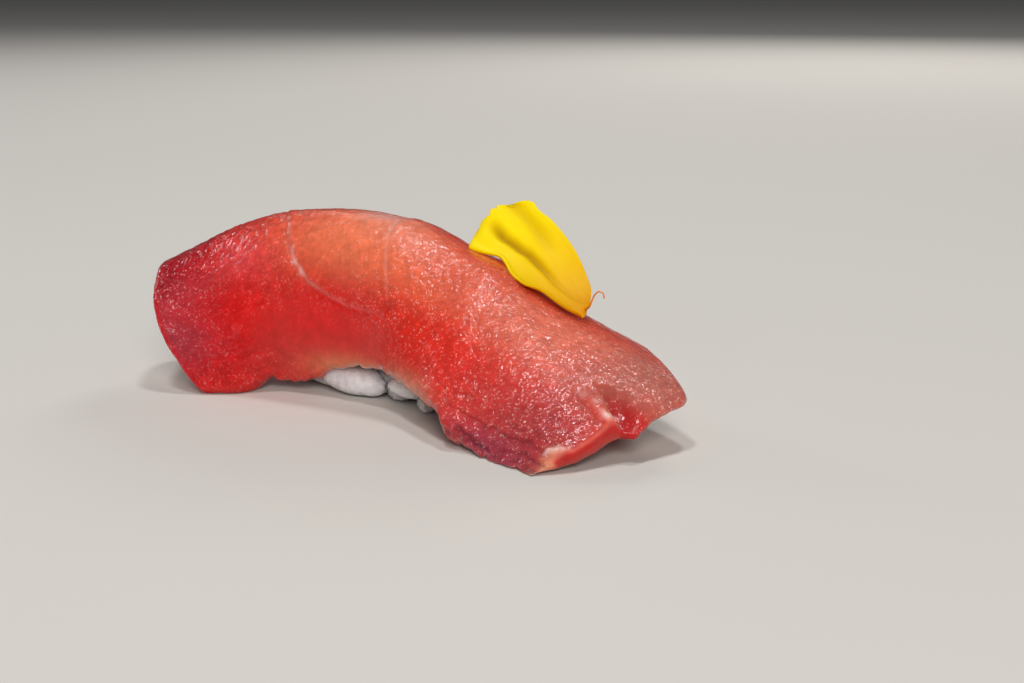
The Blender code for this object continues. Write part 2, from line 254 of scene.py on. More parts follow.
tunaSlice = {
    # x, crest height, crest y, front angle, front turn, back angle
    "stations": (
        (-33, 11.2, 2.9, 30, 8.0, 30), (-28, 14.2, 2.9, 38, 8.0, 34), (-24, 16.2, 2.8, 46, 8.0, 38),
        (-18, 18.8, 2.7, 68, 8.2, 44), (-12, 20.5, 2.8, 82, 8.5, 48), (-8, 21.1, 2.8, 96, 8.5, 50),
        (-1, 21.5, 2.9, 99, 8.6, 51), (6, 20.9, 3.1, 93, 8.8, 50), (14, 18.15, 3.3, 76, 9.0, 48),
        (18.5, 16.8, 3.5, 63, 9.0, 46), (23, 14.1, 3.6, 50, 9.0, 43), (29, 11.6, 3.6, 42, 9.0, 39),
        (34, 9.8, 3.4, 35, 9.0, 35), (46, 4.8, 2.0, 22, 9.0, 25)),
    "backTurn": 8.0,
    "frontArc": 25.0,       # distance round the slice from its crest to its front edge
    "backArc": 13.44,
    "leftEdge": (           # arc, x
        (-13.5, -20.0), (-11, -23.2), (-8, -26.2), (-4, -29.25), (0, -30.8), (3, -30.15),
        (6, -28.3), (9, -26.4), (13, -24.1), (17, -21.3), (21, -18.3), (25, -14.7)),
    "rightEdge": (
        (-13.5, 21.5), (-11, 27.0), (-7, 34.4), (-4, 39.0), (-1, 43.0), (1, 43.57), (6, 42.9),
        (9, 42.4), (10.6, 42.3), (11.4, 41.1), (13, 40.3), (17, 39.5), (20, 38.6), (25, 36.4)),
    "frontEdge": (          # x, arc
        (-18, 25.3), (-14, 25.1), (-11.4, 24.4), (-9.3, 23.3), (-5.8, 23.1), (-3.5, 22.4),
        (-1.3, 21.6), (1.2, 21.0), (4.8, 20.3), (8, 19.9), (13, 19.5), (17, 19.6),
        (20, 19.9), (22.4, 20.8), (25.3, 21.2), (34.6, 21.3), (40, 21.6)),
    "thickness": ((-33, 2.8), (-20, 4.2), (22, 4.4), (34, 3.5), (41, 2.5), (45, 1.5)),
    "frontThinning": (0.35, 12, 12),            # part lost at the front edge; from arc, over arc
    "tip": (37.8, 24.0, 7.5, 0.55),             # x, arc, reach and part lost
    # width of the rounding at each edge, and its form: 2 is a circle, more is a squarer knife
    # cut, less is a thin feathered edge
    "leftRim": ((-13.5, 1.4, 2.2), (0, 1.3, 2.6), (25, 1.1, 2.8)),          # arc, width, form
    "rightRim": ((-13.5, 2.0, 1.9), (3, 2.2, 1.7), (6.5, 1.5, 1.9), (9.6, 1.1, 2.0),
                 (11.4, 0.9, 3.2), (20, 0.9, 3.4), (22, 1.6, 2.4)),
    "frontRim": ((-30, 1.2, 2.4), (-14, 1.1, 2.4), (-8, 1.5, 1.9), (12, 1.7, 1.7), (20, 1.3, 1.8),
                 (34, 1.2, 1.8), (38, 1.2, 2.2)),                           # x, width, form
    "backRim": (1.4, 2.2),
    "frontTeeth": (         # x, height of the torn teeth along the front edge
        (-33, 0.05), (-14, 0.12), (-11.5, 0.6), (-4, 0.6), (0, 0.2), (12, 0.25),
        (18, 0.28), (22, 0.4), (34, 0.42), (38, 0.4), (46, 0.2)),
    # the lines below are pairs of x and arc
    "sinewOne": ((-12.6, -2.0), (-12.0, 0.3), (-9.6, 3.0), (-7.5, 6.2), (-5.8, 8.5), (-3.4, 11.0),
                 (-0.2, 12.5), (2.4, 13.3), (8.0, 13.3)),
    "sinewMilkAndHighlight": (          # share of its length, how white it is there; where whitest it is a painted highlight on the sinew
        (0, 0.15), (0.06, 0.55), (0.13, 0.1), (0.38, 0.12), (0.46, 1.0), (0.55, 0.8),
        (0.64, 0.2), (1, 0.05)),
    "sinewTwo": ((4.6, -3.5), (5.2, 0.6), (6.3, 4.0), (7.4, 6.8), (8.4, 10.0), (8.8, 12.0)),
    "foldLine": ((34.2, 8.6), (36.6, 9.7), (39.2, 10.5), (41.9, 11.1)),
    "foldRise": 0.62,
    "tearLine": ((36.3, 7.3), (42.6, 9.1)),     # middle of the torn wedge, from its point
    "tearDepth": 0.55,      # part of the thickness missing inside the wedge
    "tipRidge": ((36.6, 18.2), (37.6, 17.2), (38.9, 16.9)),
    "tipRise": 0.28,
    # thin torn layers low on the right: distance in from the front edge, height, seed
    "layers": ((0.75, 0.34, 43), (1.7, 0.34, 44), (3.1, 0.26, 45), (4.6, 0.16, 46)),
    # the pocket between two of them, sunk in and darkest in painted shade: ends as x and distance in, half
    # width, depth
    "pocket": ((24.4, 0.9), (28.0, 1.0), 0.26, 0.55),
    # middle x, middle arc, reach x, reach arc, strength
    "calm": ((-1, 17, 15, 3.8, 1), (21, -1.5, 10, 1.8, 1)),     # smooth flesh
    "puckered": ((-16, 4, 10, 6, 1), (-24, 12, 5, 6, 0.75)),    # deepest wrinkles
    "moreGlints": ((-22, 12, 7, 8, 0.4),),                         # more painted glints than round it
    "grain": 1.0,           # strength of the fine wet grain
    "rows": (379, 177),     # points along and round the outer skin, both odd
    "rimRows": 8,
}
flesh = {
    "ground": "#CC3A30",
    # middle x, middle arc, reach x, reach arc, turn in degrees, colour, strength
    "patches": (
        (-28, 2, 12, 15, 0, "#C60A18", 0.97),       # deep crimson end
        (-26, 10, 7, 8, 0, "#AE1828", 0.8),
        (-29.5, 5, 2.6, 4, 0, "#A8485C", 0.5),      # painted plum sheen near the left edge
        (-24, 3, 4, 6, 0, "#980818", 0.7),
        (-23.5, 12.5, 3.6, 4, 0, "#840C18", 0.7),
        (-17, -3, 9, 5, 0, "#AC1014", 0.9),
        (-5, -0.4, 8, 2.0, 0, "#B42014", 0.9),
        (-5, 3, 5, 4, 0, "#D4402C", 0.5),
        (-16, 20, 9, 8, 0, "#C01018", 0.92),
        (-13, 8.5, 5, 3.0, 10, "#E04850", 0.6),
        # painted plum sheen low on the left end
        (-19.5, 16.5, 5.5, 6, 0, "#963C4A", 0.85),
        (4, 5.5, 13, 5.5, 6, "#EC7C56", 0.95),      # salmon along the top
        (8, 2, 8, 3.4, 0, "#E4886C", 0.8),
        (3.4, 0.2, 3.0, 1.8, 0, "#E6A498", 0.7),    # milky sinew where the second sinew meets the crest, with painted glints on it
        (20, 5, 13, 6.0, 0, "#D65E44", 0.8),
        (31, 4, 12, 6.5, 0, "#D8705C", 0.85),
        (36, 8.5, 4, 4.5, 0, "#B04C46", 0.6),
        (40.5, 2, 6, 7, 0, "#AC685E", 0.8),         # greyish lobe at the right: painted sheen of many fine glints
        (-2, 14.5, 18, 3.8, 0, "#D81A18", 0.95),    # saturated band round the middle
        (17, 13.5, 13, 4.0, 6, "#DC2C1E", 0.85),
        (30, 16, 9, 4.5, 0, "#BC4242", 0.7),
        (35, 17, 6, 4.5, 0, "#98363C", 0.7),
        (4.5, 20.9, 8, 1.8, 0, "#DC8C60", 0.85),    # pale translucent rim above the rice
        (14, 19.6, 5, 2.4, 0, "#D49478", 0.8),
        (29, 20.2, 6.5, 2.0, 0, "#983A4C", 0.85),   # plum where the thin layers are torn
        (38.2, 20.0, 1.8, 2.4, 0, "#F2A07C", 0.95), # thin pale tip
        (22, -1.2, 12, 2.4, 0, "#C83810", 0.9),     # painted orange shadow of the petal, under it
    ),
    "back": "#C8443A", "underside": "#A82C26", "leftBand": "#C80C1C", "tear": "#B0141A",
    "cut": "#C01C1A", "cutTop": "#E0786A",
    # next line: the pale colour of painted glints, milky sinew that also paints highlights, and dark plum
    # painted as shade in the gaps between torn layers
    "glintFlecks": "#FAD4CA", "sinew": "#FCDCD4", "gaps": "#481420",
}


def station(x, column):
    return keyed(tunaSlice["stations"], x, column)


def section(x, arc, depth):
    # Walks from the crest round the section: the lean grows as angle * tanh(arc / turn), each
    # step goes (-cos lean, -sin lean), and the point then sinks `depth` below the outer skin.
    side = np.where(arc > 0, 1.0, -1.0)
    angle = np.radians(np.where(arc > 0, station(x, 3), station(x, 5)))
    turn = np.where(arc > 0, station(x, 4), tunaSlice["backTurn"])
    y, z = station(x, 2), station(x, 1)
    steps = 24
    for i in range(steps):
        lean = angle * np.tanh(np.abs(arc) * (i + 0.5) / steps / turn)
        y = y - np.cos(lean) * arc / steps
        z = z - np.sin(lean) * np.abs(arc) / steps
    lean = angle * np.tanh(np.abs(arc) / turn)
    fall = (station(x + 1, 1) - station(x - 1, 1)) / 2
    depth = depth * np.sqrt(1 + (fall * np.cos(lean)) ** 2)
    return np.stack([x + 0 * y, y + side * np.sin(lean) * depth, z - np.cos(lean) * depth], -1)


def thickness(x, arc):
    frontLoss, start, run = tunaSlice["frontThinning"]
    tipX, tipArc, reach, tipLoss = tunaSlice["tip"]
    front = frontLoss * np.clip((arc - start) / run, 0, 1) ** 2
    tip = tipLoss * bell((x - tipX) / reach, (arc - tipArc) / reach)
    return keyed(tunaSlice["thickness"], x) * (1 - front) * (1 - tip)


def frontEdge(x):
    # the key points, slow waves, then torn teeth: sharp ones from the noise's own creases
    waves = 0.10 * np.sin(1.45 * x + 0.4) + 0.06 * np.sin(2.9 * x + 2.0)
    teeth = (0.45 * lumps(x, 0, 0.5, 31) + 0.75 * lumps(x, 0, 1.7, 32)
             - 0.6 * np.abs(lumps(x, 0, 1.15, 33)))
    return keyed(tunaSlice["frontEdge"], x) + waves + keyed(tunaSlice["frontTeeth"], x) * teeth


def rimRows(count):
    # rows across a sheet: `inset` counts rims (0 to 1 in the near rim, 1 to 2 in the far one),
    # `share` runs 0 to 1 between them, so the rows crowd where the cut turns over
    turn = np.linspace(0, np.pi / 2, tunaSlice["rimRows"], endpoint=False)
    near = 1 - np.cos(turn) ** 0.72
    middle = np.linspace(0, 1, count - 2 * len(near))
    inset = np.concatenate([near, np.ones(len(middle)), 2 - near[::-1]])
    share = np.concatenate([0 * near, middle, 1 + 0 * near])
    return inset, share


def spreadRows(inset, share, start, nearRim, farRim, end):
    # rimRows laid from start to end, with rims of these widths
    return (start + np.minimum(inset, 1) * nearRim + np.maximum(inset - 1, 0) * farRim
            + share * (end - start - nearRim - farRim))


def sliceGrid():
    # Rows along the slice and columns from its back edge to its front edge. For each point: x,
    # arc, distance in from the front edge, place in the end rims, how much of the thickness the
    # rounding leaves, and how far it lies on the square cut of the right end.
    count, around = tunaSlice["rows"]
    insetU, shareU = (row[:, None] for row in rimRows(count))
    insetV, shareV = (row[None, :] for row in rimRows(around))
    frontArc, backArc = tunaSlice["frontArc"], tunaSlice["backArc"]
    backWidth, backForm = tunaSlice["backRim"]
    # x isn't known yet, and a rough one, from -30 to 40, will do to look up the front rim
    roughX = spreadRows(insetU, shareU, -30, 1.05, 1.05, 40)
    frontWidth, frontForm = (keyed(tunaSlice["frontRim"], roughX, k) for k in (1, 2))
    even = spreadRows(insetV, shareV, -backArc, backWidth, frontWidth, frontArc)
    leftWidth, leftForm = (keyed(tunaSlice["leftRim"], even, k) for k in (1, 2))
    rightWidth, rightForm = (keyed(tunaSlice["rightRim"], even, k) for k in (1, 2))
    # the ends are a little ragged, the right one most low down
    ragged = 0.05 * lumps(even, 0, 0.7, 61) + 0.13 * lumps(even, 0, 1.9, 62)
    left = keyed(tunaSlice["leftEdge"], even) + 0.5 * ragged
    right = keyed(tunaSlice["rightEdge"], even) + ragged * (0.9 + 0.2 * smooth(5, 10, even)) - 0.12
    x = spreadRows(insetU, shareU, left, leftWidth, rightWidth, right)
    reach = frontEdge(x)
    arc = np.where(even > 0, even * reach / frontArc, even)
    full = 1.0
    for inset, form in ((insetU, leftForm), (2 - insetU, rightForm),
                        (insetV, backForm), (2 - insetV, frontForm)):
        near = np.clip(1 - inset, 0, 1)
        full = full * (1 - near ** form) ** (1 / form)
    squareCut = (insetU > 1) * smooth(2.2, 3.0, rightForm) * (1 - full)
    return x, arc, reach - arc, insetU, full, smooth(0.02, 0.3, squareCut)


def sinewRelief(x, arc):
    # relief in mm, and milkiness: milky sinew, with painted highlights where it is whitest; the first sinew
    # is a narrow crack with a raised lip on its right
    away, along = lineDistance(x, arc, tunaSlice["sinewOne"])
    strength = smooth(0, 0.15, along) * (1 - 0.6 * smooth(0.55, 1, along))
    lift = strength * (-0.22 * bell(away / 0.32) + 0.16 * bell((away + 0.85) / 0.6))
    milk = keyed(tunaSlice["sinewMilkAndHighlight"], along) * (0.75 + 0.5 * lumps(x, arc, 0.8, 56))
    first = np.clip(milk, 0, 1) * bell((away + 0.2) / (0.2 + 0.16 * milk))
    # the second is a small step, deepest where it notches the crest
    away, along = lineDistance(x, arc, tunaSlice["sinewTwo"])
    fade = 1 - smooth(0.7, 1, along)
    notch = 0.06 + 0.3 * bell((along - 0.25) / 0.12)
    lift += fade * (0.10 * np.tanh(-away / 0.5) * bell(away / 2.5) - notch * bell(away / 0.34))
    return lift, np.maximum(first, 0.2 * fade * bell(away / 0.22))


def tearShape(x, arc):
    # 0 outside the wedge to 1 on its floor: it widens and deepens along its line, with a steep
    # wall toward the front and a long slope toward the back
    (x0, a0), (x1, a1) = tunaSlice["tearLine"]
    run = np.hypot(x1 - x0, a1 - a0)
    along = ((x - x0) * (x1 - x0) + (arc - a0) * (a1 - a0)) / run
    across = ((arc - a0) * (x1 - x0) - (x - x0) * (a1 - a0)) / run
    across = across + 0.12 * lumps(x, arc, 0.8, 46)
    share = across / (0.35 + 0.29 * np.maximum(along, 0))
    return smooth(-0.4, 4.0, along) ** 0.7 * smooth(-2.5, 0.1, share) * (1 - smooth(0.75, 1.0, share))


def tornLayers(x, arc, fromFront):
    # relief in mm and painted shade in the gaps: each layer steps up going inland, along a wandering line
    inland = fromFront + 0.3 * lumps(x, arc, 3.4, 41) + 0.14 * lumps(x, arc, 0.9, 42)
    where = smooth(18.5, 22.0, x) * (1 - smooth(36.0, 38.5, x))
    tallest = max(height for start, height, seed in tunaSlice["layers"])
    lift, gaps, run = 0 * x, 0 * x, 0.22        # a layer's edge rises over this run
    for start, height, seed in tunaSlice["layers"]:
        line = start + 0.4 * lumps(x, 0, 4.1, seed) + 0.16 * lumps(x, 0, 1.0, seed + 10)
        present = smooth(-0.3, 0.3, lumps(x, 7.7 * start, 5.3, seed + 20) + 0.25)
        lift -= where * present * height * (1 - smooth(line, line + run, inland))
        gaps += where * present * height / tallest * bell((inland - line + 0.10) / 0.17)
    *ends, half, depth = tunaSlice["pocket"]
    pocket = bell(lineDistance(x, fromFront, ends)[0] / half) * (0.75 + 0.25 * lumps(x, arc, 0.7, 47))
    gaps = pocket + 0.6 * gaps * (0.6 + 0.6 * lumps(x, arc, 0.9, 48))
    return lift - depth * pocket, np.clip(gaps, 0, 1)


def wetGrain(x, arc, calm):
    # relief in mm, and painted light and shade: the grain's ridges are painted lighter and its pits darker
    puckered = strongest(tunaSlice["puckered"], x, arc)
    crease, bead = np.abs(lumps(x, arc, 0.7, 52, 1.1)), lumps(x, arc, 0.42, 53, 0.2)
    grain = (0.030 * lumps(x, arc, 1.2, 51) - (0.022 + 0.11 * puckered) * crease
             + (0.022 + 0.03 * puckered) * bead)
    # short shallow creases, as the muscle fibres run: down the front and leaning right
    fibre = lumps(x + arc * 0.35, arc * 0.22, 0.8, 54, 0.15)
    tone = np.clip(0.55 - crease + 0.5 * bead, -0.3, 1) * (0.18 + 0.14 * puckered)
    lift = tunaSlice["grain"] * (1 - 0.75 * calm) * (grain + 0.012 * fibre)
    return lift, tone * (1 - 0.8 * calm)


def sliceLift(x, arc, fromFront):
    # relief of the outer skin in mm, and the masks that its colours use
    lift, sinewMilkAndHighlight = sinewRelief(x, arc)
    # the fold at the right end is a wet ridge with a painted highlight along it, and the torn wedge widens
    # from it to the edge
    away, along = lineDistance(x, arc, tunaSlice["foldLine"])
    fold = smooth(0, 0.5, along) * bell(away / 0.65)
    foldHighlight = fold * np.clip(0.3 + 0.6 * lumps(x, arc, 0.7, 57), 0, 1)
    tear = tearShape(x, arc)
    lift += tunaSlice["foldRise"] * smooth(0, 0.5, along) * bell(away / (0.75 + 0.3 * (1 - along)))
    # a small wet ridge beside the thin pale tip, with a painted highlight along it
    ridge = bell(lineDistance(x, arc, tunaSlice["tipRidge"])[0] / 0.45)
    ridgeHighlight = ridge * np.clip(0.35 + 0.7 * lumps(x, arc, 0.6, 58), 0, 1)
    layers, gaps = tornLayers(x, arc, fromFront)
    # broad swells, which end at the crest
    swell = (0.30 * np.sin(0.21 * x + 0.17 * arc + 0.6) + 0.22 * np.sin(-0.34 * x + 0.29 * arc + 2.1)
             + 0.12 * lumps(x, arc, 4.2, 55, 0.9))
    calm = np.maximum(strongest(tunaSlice["calm"], x, arc), 0.4 * tear)
    grain, tone = wetGrain(x, arc, calm)
    lift += tunaSlice["tipRise"] * ridge + layers + np.clip(arc / 7, 0, 1) * swell + grain
    # painted glints, a frosty sparkle in the colour: strongest on the right lobe and low on the right, least
    # in the red band; the fold's ridge gets a painted highlight through it too
    frost = np.maximum(smooth(-12, 14, x) * smooth(-6, -1, arc), 0.42)
    frost = frost * (1 + 0.7 * smooth(35, 41, x) * (1 - smooth(8, 11, arc)))
    frost = (frost + strongest(tunaSlice["moreGlints"], x, arc)) * (1 - calm) * (1 - 0.5 * tear)
    masks = {"sinew": np.maximum.reduce([sinewMilkAndHighlight, foldHighlight, ridgeHighlight]), "gaps": gaps,
             "tear": tear, "tone": tone, "wet": 1 - 0.85 * calm,
             "frost": np.maximum(frost + 0.9 * fold, 0.05)}
    return lift, masks


def paintSlice(x, arc, insetU, full, cut, masks):
    # soft spots of colour laid over each other: strength * exp(-r ** 2.8), r in turned reaches
    colour = np.zeros(x.shape + (3,)) + linear(flesh["ground"])
    for midX, midArc, reachX, reachArc, turn, hexColour, strength in flesh["patches"]:
        c, s = math.cos(math.radians(turn)), math.sin(math.radians(turn))
        dx, da = x - midX, arc - midArc
        far = ((dx * c + da * s) / reachX) ** 2 + ((da * c - dx * s) / reachArc) ** 2
        colour = blend(colour, hexColour, strength * np.exp(-far ** 1.4))
    # painted light and shade of the wet grain: lighter ridges, darker pits
    colour = colour * (1 + masks["tone"])[..., None]
    colour = blend(colour, flesh["back"], 0.6 * smooth(1.0, 7.0, -arc))
    colour = blend(colour, flesh["leftBand"], 0.85 * (1 - smooth(0.35, 1.0, insetU + 0 * x)))
    colour = blend(colour, flesh["tear"], 0.85 * smooth(0.15, 0.9, masks["tear"]))
    # the cut face is paler at its upper edge
    face = blend(linear(flesh["cutTop"]), flesh["cut"], smooth(0.9, 0.3, full) * cut)
    colour = colour + (face - colour) * (0.9 * cut * (1 - masks["tear"]))[..., None]
    return colour, blend(colour, flesh["underside"], 0.7 * full)


def coarseCells(grid):
    # squares two rows and two columns wide; those at the rim of the grid also take in the points
    # halfway along it, so there is one group for each number of corners
    low, mid, high = slice(None, -2, 2), slice(1, -1, 2), slice(2, None, 2)
    around = ((low, low), (mid, low), (high, low), (high, mid),
              (high, high), (mid, high), (low, high), (low, mid))
    ring = np.stack([grid[rows, columns] for rows, columns in around], -1)
    keep = np.ones(ring.shape, bool)
    keep[..., 1::2] = False
    keep[:, 0, 1] = keep[-1, :, 3] = keep[:, -1, 5] = keep[0, :, 7] = True
    corners = keep.sum(-1)
    return [ring[corners == k][keep[corners == k]].reshape(-1, k) for k in (4, 5, 6)]


def makeSlice():
    x, arc, fromFront, insetU, full, cut = sliceGrid()
    lift, masks = sliceLift(x, arc, fromFront)
    skinColours = paintSlice(x, arc, insetU, full, cut, masks)
    for key, loss in (("wet", 0.4), ("sinew", 1), ("frost", 1)):
        masks[key] = masks[key] * (1 - loss * cut)
    torn = tunaSlice["tearDepth"] * masks["tear"]   # part of the thickness gone from above
    thick = thickness(x, arc)
    middle, half = thick * (1 + torn) / 2, thick * (1 - torn) / 2
    skins = [section(x, arc, middle - half * full - lift * full), section(x, arc, middle + half * full)]
    soft = 0.16             # mm over which the skins settle on the table
    for skin in skins:
        skin[..., 2] = (skin[..., 2] + np.sqrt(skin[..., 2] ** 2 + soft ** 2)) / 2
    index, inner = skinNumbers(*x.shape)
    points = joinSkins(*skins)
    # the underside is hidden, so its faces are larger, and the points they skip are left out
    groups = [cells(index)[:, ::-1]] + coarseCells(inner)
    used = np.unique(np.concatenate([group.ravel() for group in groups]))
    place = np.zeros(len(points), int)
    place[used] = np.arange(len(used))
    # the underside is drier, with fewer painted glints and less milky sinew, painted highlight and painted
    # shade
    looks = {key: joinSkins(masks[key], masks[key] * 0.3)[used] for key in ("wet", "sinew", "gaps", "frost")}
    looks["flesh"] = joinSkins(*skinColours)[used]
    return points[used], [place[group] for group in groups], looks


# Raw tuna, cut with a wet knife: deep translucent muscle under a thin film of water, so it
# glows softly at its edges, its grain breaks the lights into many small sparks, and pale glints are painted
# into its colour as well.
def tunaMaterial():
    material, shader, addNode = newMaterial("raw tuna, knife cut, wet")
    paint = addNode("Attribute", {"attribute_name": "flesh"})
    wet, sinew, gaps, frost = (addNode("Attribute", {"attribute_name": name}).outputs["Fac"]
                               for name in ("wet", "sinew", "gaps", "frost"))
    place = addNode("TexCoord").outputs["Object"]
    # muscle bundles, about 1.6 mm across, drawn as faint lighter and darker flecks
    bundle = addNode("TexNoise", {"Scale": 620.0, "Detail": 4.0, "Roughness": 0.6}, {"Vector": place})
    darker = addNode("MapRange", {"From Min": 0.35, "From Max": 0.7, "To Min": 0.90, "To Max": 1.10},
                     {"Value": bundle})
    toned = addNode("VectorMath", {"operation": "SCALE"}, {0: paint, "Scale": darker})
    # painted glints: pale flecks, 0.2 mm across and 0.3 mm apart, in clusters as large as the bundles
    spots = glintFlecks(addNode, place, 3400.0, 0.52, 0.75)
    cluster = addNode("MapRange", {"From Min": 0.4, "From Max": 0.62, "To Min": 0.25, "To Max": 1.15},
                      {"Value": bundle})
    clustered = addNode("Math", {"operation": "MULTIPLY"}, {0: spots, 1: cluster})
    glintAmount = addNode("Math", {"operation": "MULTIPLY"}, {0: clustered, 1: frost})
    withGlints = addNode("Mix", {"data_type": "RGBA", 7: flesh["glintFlecks"]}, {"Factor": glintAmount, 6: toned})
    # sinew is pale and milky, with painted highlights on it and on the wet ridges, and the gaps between torn
    # layers get dark plum painted shade
    sinewHighlightShare = addNode("Math", {"operation": "MULTIPLY", 1: 0.85}, {0: sinew})
    milky = addNode("Mix", {"data_type": "RGBA", 7: flesh["sinew"]},
                    {"Factor": sinewHighlightShare, 6: withGlints.outputs[2]})
    gapShadeShare = addNode("Math", {"operation": "MULTIPLY", 1: 0.75}, {0: gaps})
    final = addNode("Mix", {"data_type": "RGBA", 7: flesh["gaps"]},
                    {"Factor": gapShadeShare, 6: milky.outputs[2]})
    gloss = addNode("MapRange", {"To Min": 0.26, "To Max": 0.42}, {"Value": bundle})
    # fine grain of the flesh, 0.8 mm and smaller
    fine = addNode("TexNoise", {"Scale": 1300.0, "Detail": 3.0, "Roughness": 0.6}, {"Vector": place})
    bumpStrength = addNode("Math", {"operation": "MULTIPLY", 1: 0.9}, {0: wet})
    bump = addNode("Bump", {"Distance": 0.00016}, {"Height": fine, "Strength": bumpStrength})
    # the water film lies over the grain in soft beads of its own
    film = addNode("TexNoise", {"Scale": 1300.0}, {"Vector": place})
    filmBump = addNode("Bump", {"Distance": 0.00026}, {"Height": film, "Strength": bumpStrength})
    setNode(shader,
            {"IOR": 1.38, "Specular IOR Level": 0.05, "Subsurface Weight": 0.8,
             "Subsurface Scale": 0.004, "Subsurface Radius": (1.0, 0.28, 0.16),
             "Coat Weight": 1.0, "Coat Roughness": 0.13, "Coat IOR": 1.33},
            {"Base Color": final.outputs[2], "Roughness": gloss,
             "Normal": bump, "Coat Normal": filmBump})
    return material


points, groups, looks = makeSlice()
addMesh("tuna_slice_flesh", points, groups, tunaMaterial(), "tuna_slice", looks)
print("slice:", sum(len(group) for group in groups), "faces")


farAway = 99.0      # mm, past anything here

riceBall = {
    "middle": 8.0, "half": 24.5,        # along x
    "axis": (6.5, 3.4),                 # y and z of the line its sections are drawn round
    "reach": (6.4, 7.35, 12.8),         # front, back and top
    "square": 2.2, "end": 2.7,          # powers of the ovals round it and along it
    "gap": 0.42,                        # left under the slice
    "grain": (3.8, 1.64, 1.5),          # half length, half width and half height of a grain
    "span": 0.985,                      # share of the length that takes grains
    "turns": (-0.5, math.pi + 0.55),    # from low behind over the top to low in front
    "spread": 2.12,                     # closest that two grains' middles come
    "sink": 0.92,                       # depth of a grain's middle, in half heights
    "uneven": 0.5,                      # most that a grain is set deeper than its neighbours
    "lowest": 0.8,                      # most of a grain that may be pressed flat on the table
    "coreInset": 1.7,                   # how far the core lies below the ball's surface
    "tries": 6500, "seed": 12,
    # grains that show under the front edge: middle, half sizes, turn and tilt in degrees
    "front": (
        ((-0.1, 0.6, 1.85), (4.75, 2.2, 1.78), 3, -3),
        ((9.6, -1.4, 2.5), (2.6, 1.5, 1.2), 12, -6),
        ((11.5, -0.6, 1.05), (2.6, 1.2, 1.0), -52, -2),
    ),
    "fine": (6, 12, 1.0),               # x, reach and y of other grains that are seen closely
    # the last colour here is the white of glints painted on the grains
    "greyest": "#D4D0D8", "whitest": "#FAF8FA", "riceGlint": "#FFFFFF",
}


def clearOfSlice(x, angle):
    # how far a ray from the rice axis runs before it nears the slice's underside
    y0, z0 = riceBall["axis"]
    behind = tunaSlice["backArc"] + 2.5
    arc = np.linspace(-behind, float(keyed(tunaSlice["frontEdge"], np.array(x))), 80)
    skin = section(x + 0 * arc, arc, thickness(x, arc) + riceBall["gap"])
    turn = np.arctan2(skin[:, 2] - z0, skin[:, 1] - y0) % (2 * np.pi)
    out = np.hypot(skin[:, 1] - y0, skin[:, 2] - z0)
    order = np.argsort(turn)
    return np.interp(angle, turn[order], out[order], left=farAway)


def ballReach(x, angle, inset):
    # superellipse section, smaller toward the ends, cut by the slice above and the table below
    y0, z0 = riceBall["axis"]
    front, back, top = riceBall["reach"]
    p, q = riceBall["square"], riceBall["end"]
    t = abs(x - riceBall["middle"]) / riceBall["half"]
    wide = np.where(np.cos(angle) > 0, back, front)
    tall = np.where(np.sin(angle) > 0, top, 2 * z0)
    oval = ((np.abs(np.cos(angle)) / wide) ** p + (np.abs(np.sin(angle)) / tall) ** p) ** (-1 / p)
    reach = oval * max(1 - t ** q, 1e-4) ** (1 / q)
    reach = np.minimum(reach, clearOfSlice(x, angle)) - inset
    down = -np.sin(angle)
    table = np.where(down > 0.01, (z0 - inset * 0.5) / np.maximum(down, 0.01), farAway)
    return np.maximum(np.minimum(reach, table), 0.15)


def ballPoint(x, angle, inset):
    y0, z0 = riceBall["axis"]
    reach = ballReach(x, angle, inset)
    return np.stack([x + 0 * angle, y0 + reach * np.cos(angle), z0 + reach * np.sin(angle)], -1)


def grainShape(rings, around):
    # a plump spindle of half length 1 and radius (1 - |t| ** 2.3) ** 0.5, one end blunter, with a
    # shallow crease down one side
    t = -np.cos(np.linspace(0, np.pi, rings + 2)[1:-1])[:, None]
    turn = np.linspace(0, 2 * np.pi, around, endpoint=False)[None, :]
    crease = 0.09 * np.exp(-(turn - np.pi) ** 2 / 0.2)
    radius = (1 - np.abs(t) ** 2.3) ** 0.5 * (1 + 0.10 * t) * (1 - crease)
    radius = radius * (1 + 0.03 * np.sin(7 * t + 2 * turn) + 0.02 * np.sin(11 * t - 3 * turn))
    body = np.stack([t + 0 * turn, radius * np.cos(turn), radius * np.sin(turn)], -1)
    return closedRings(body, [[-1, 0, 0], [1, 0, 0]])


def placeGrain(shape, middle, half, along, up, bend):
    # stretches the spindle, bends it a little, and stands it on its own three directions
    along = unit(np.array(along))
    side = unit(np.cross(up, along))
    local = shape * np.array(half)
    local[:, 2] += bend * (1 - shape[:, 0] ** 2)
    return np.array(middle) + local @ np.stack([along, side, np.cross(along, side)])


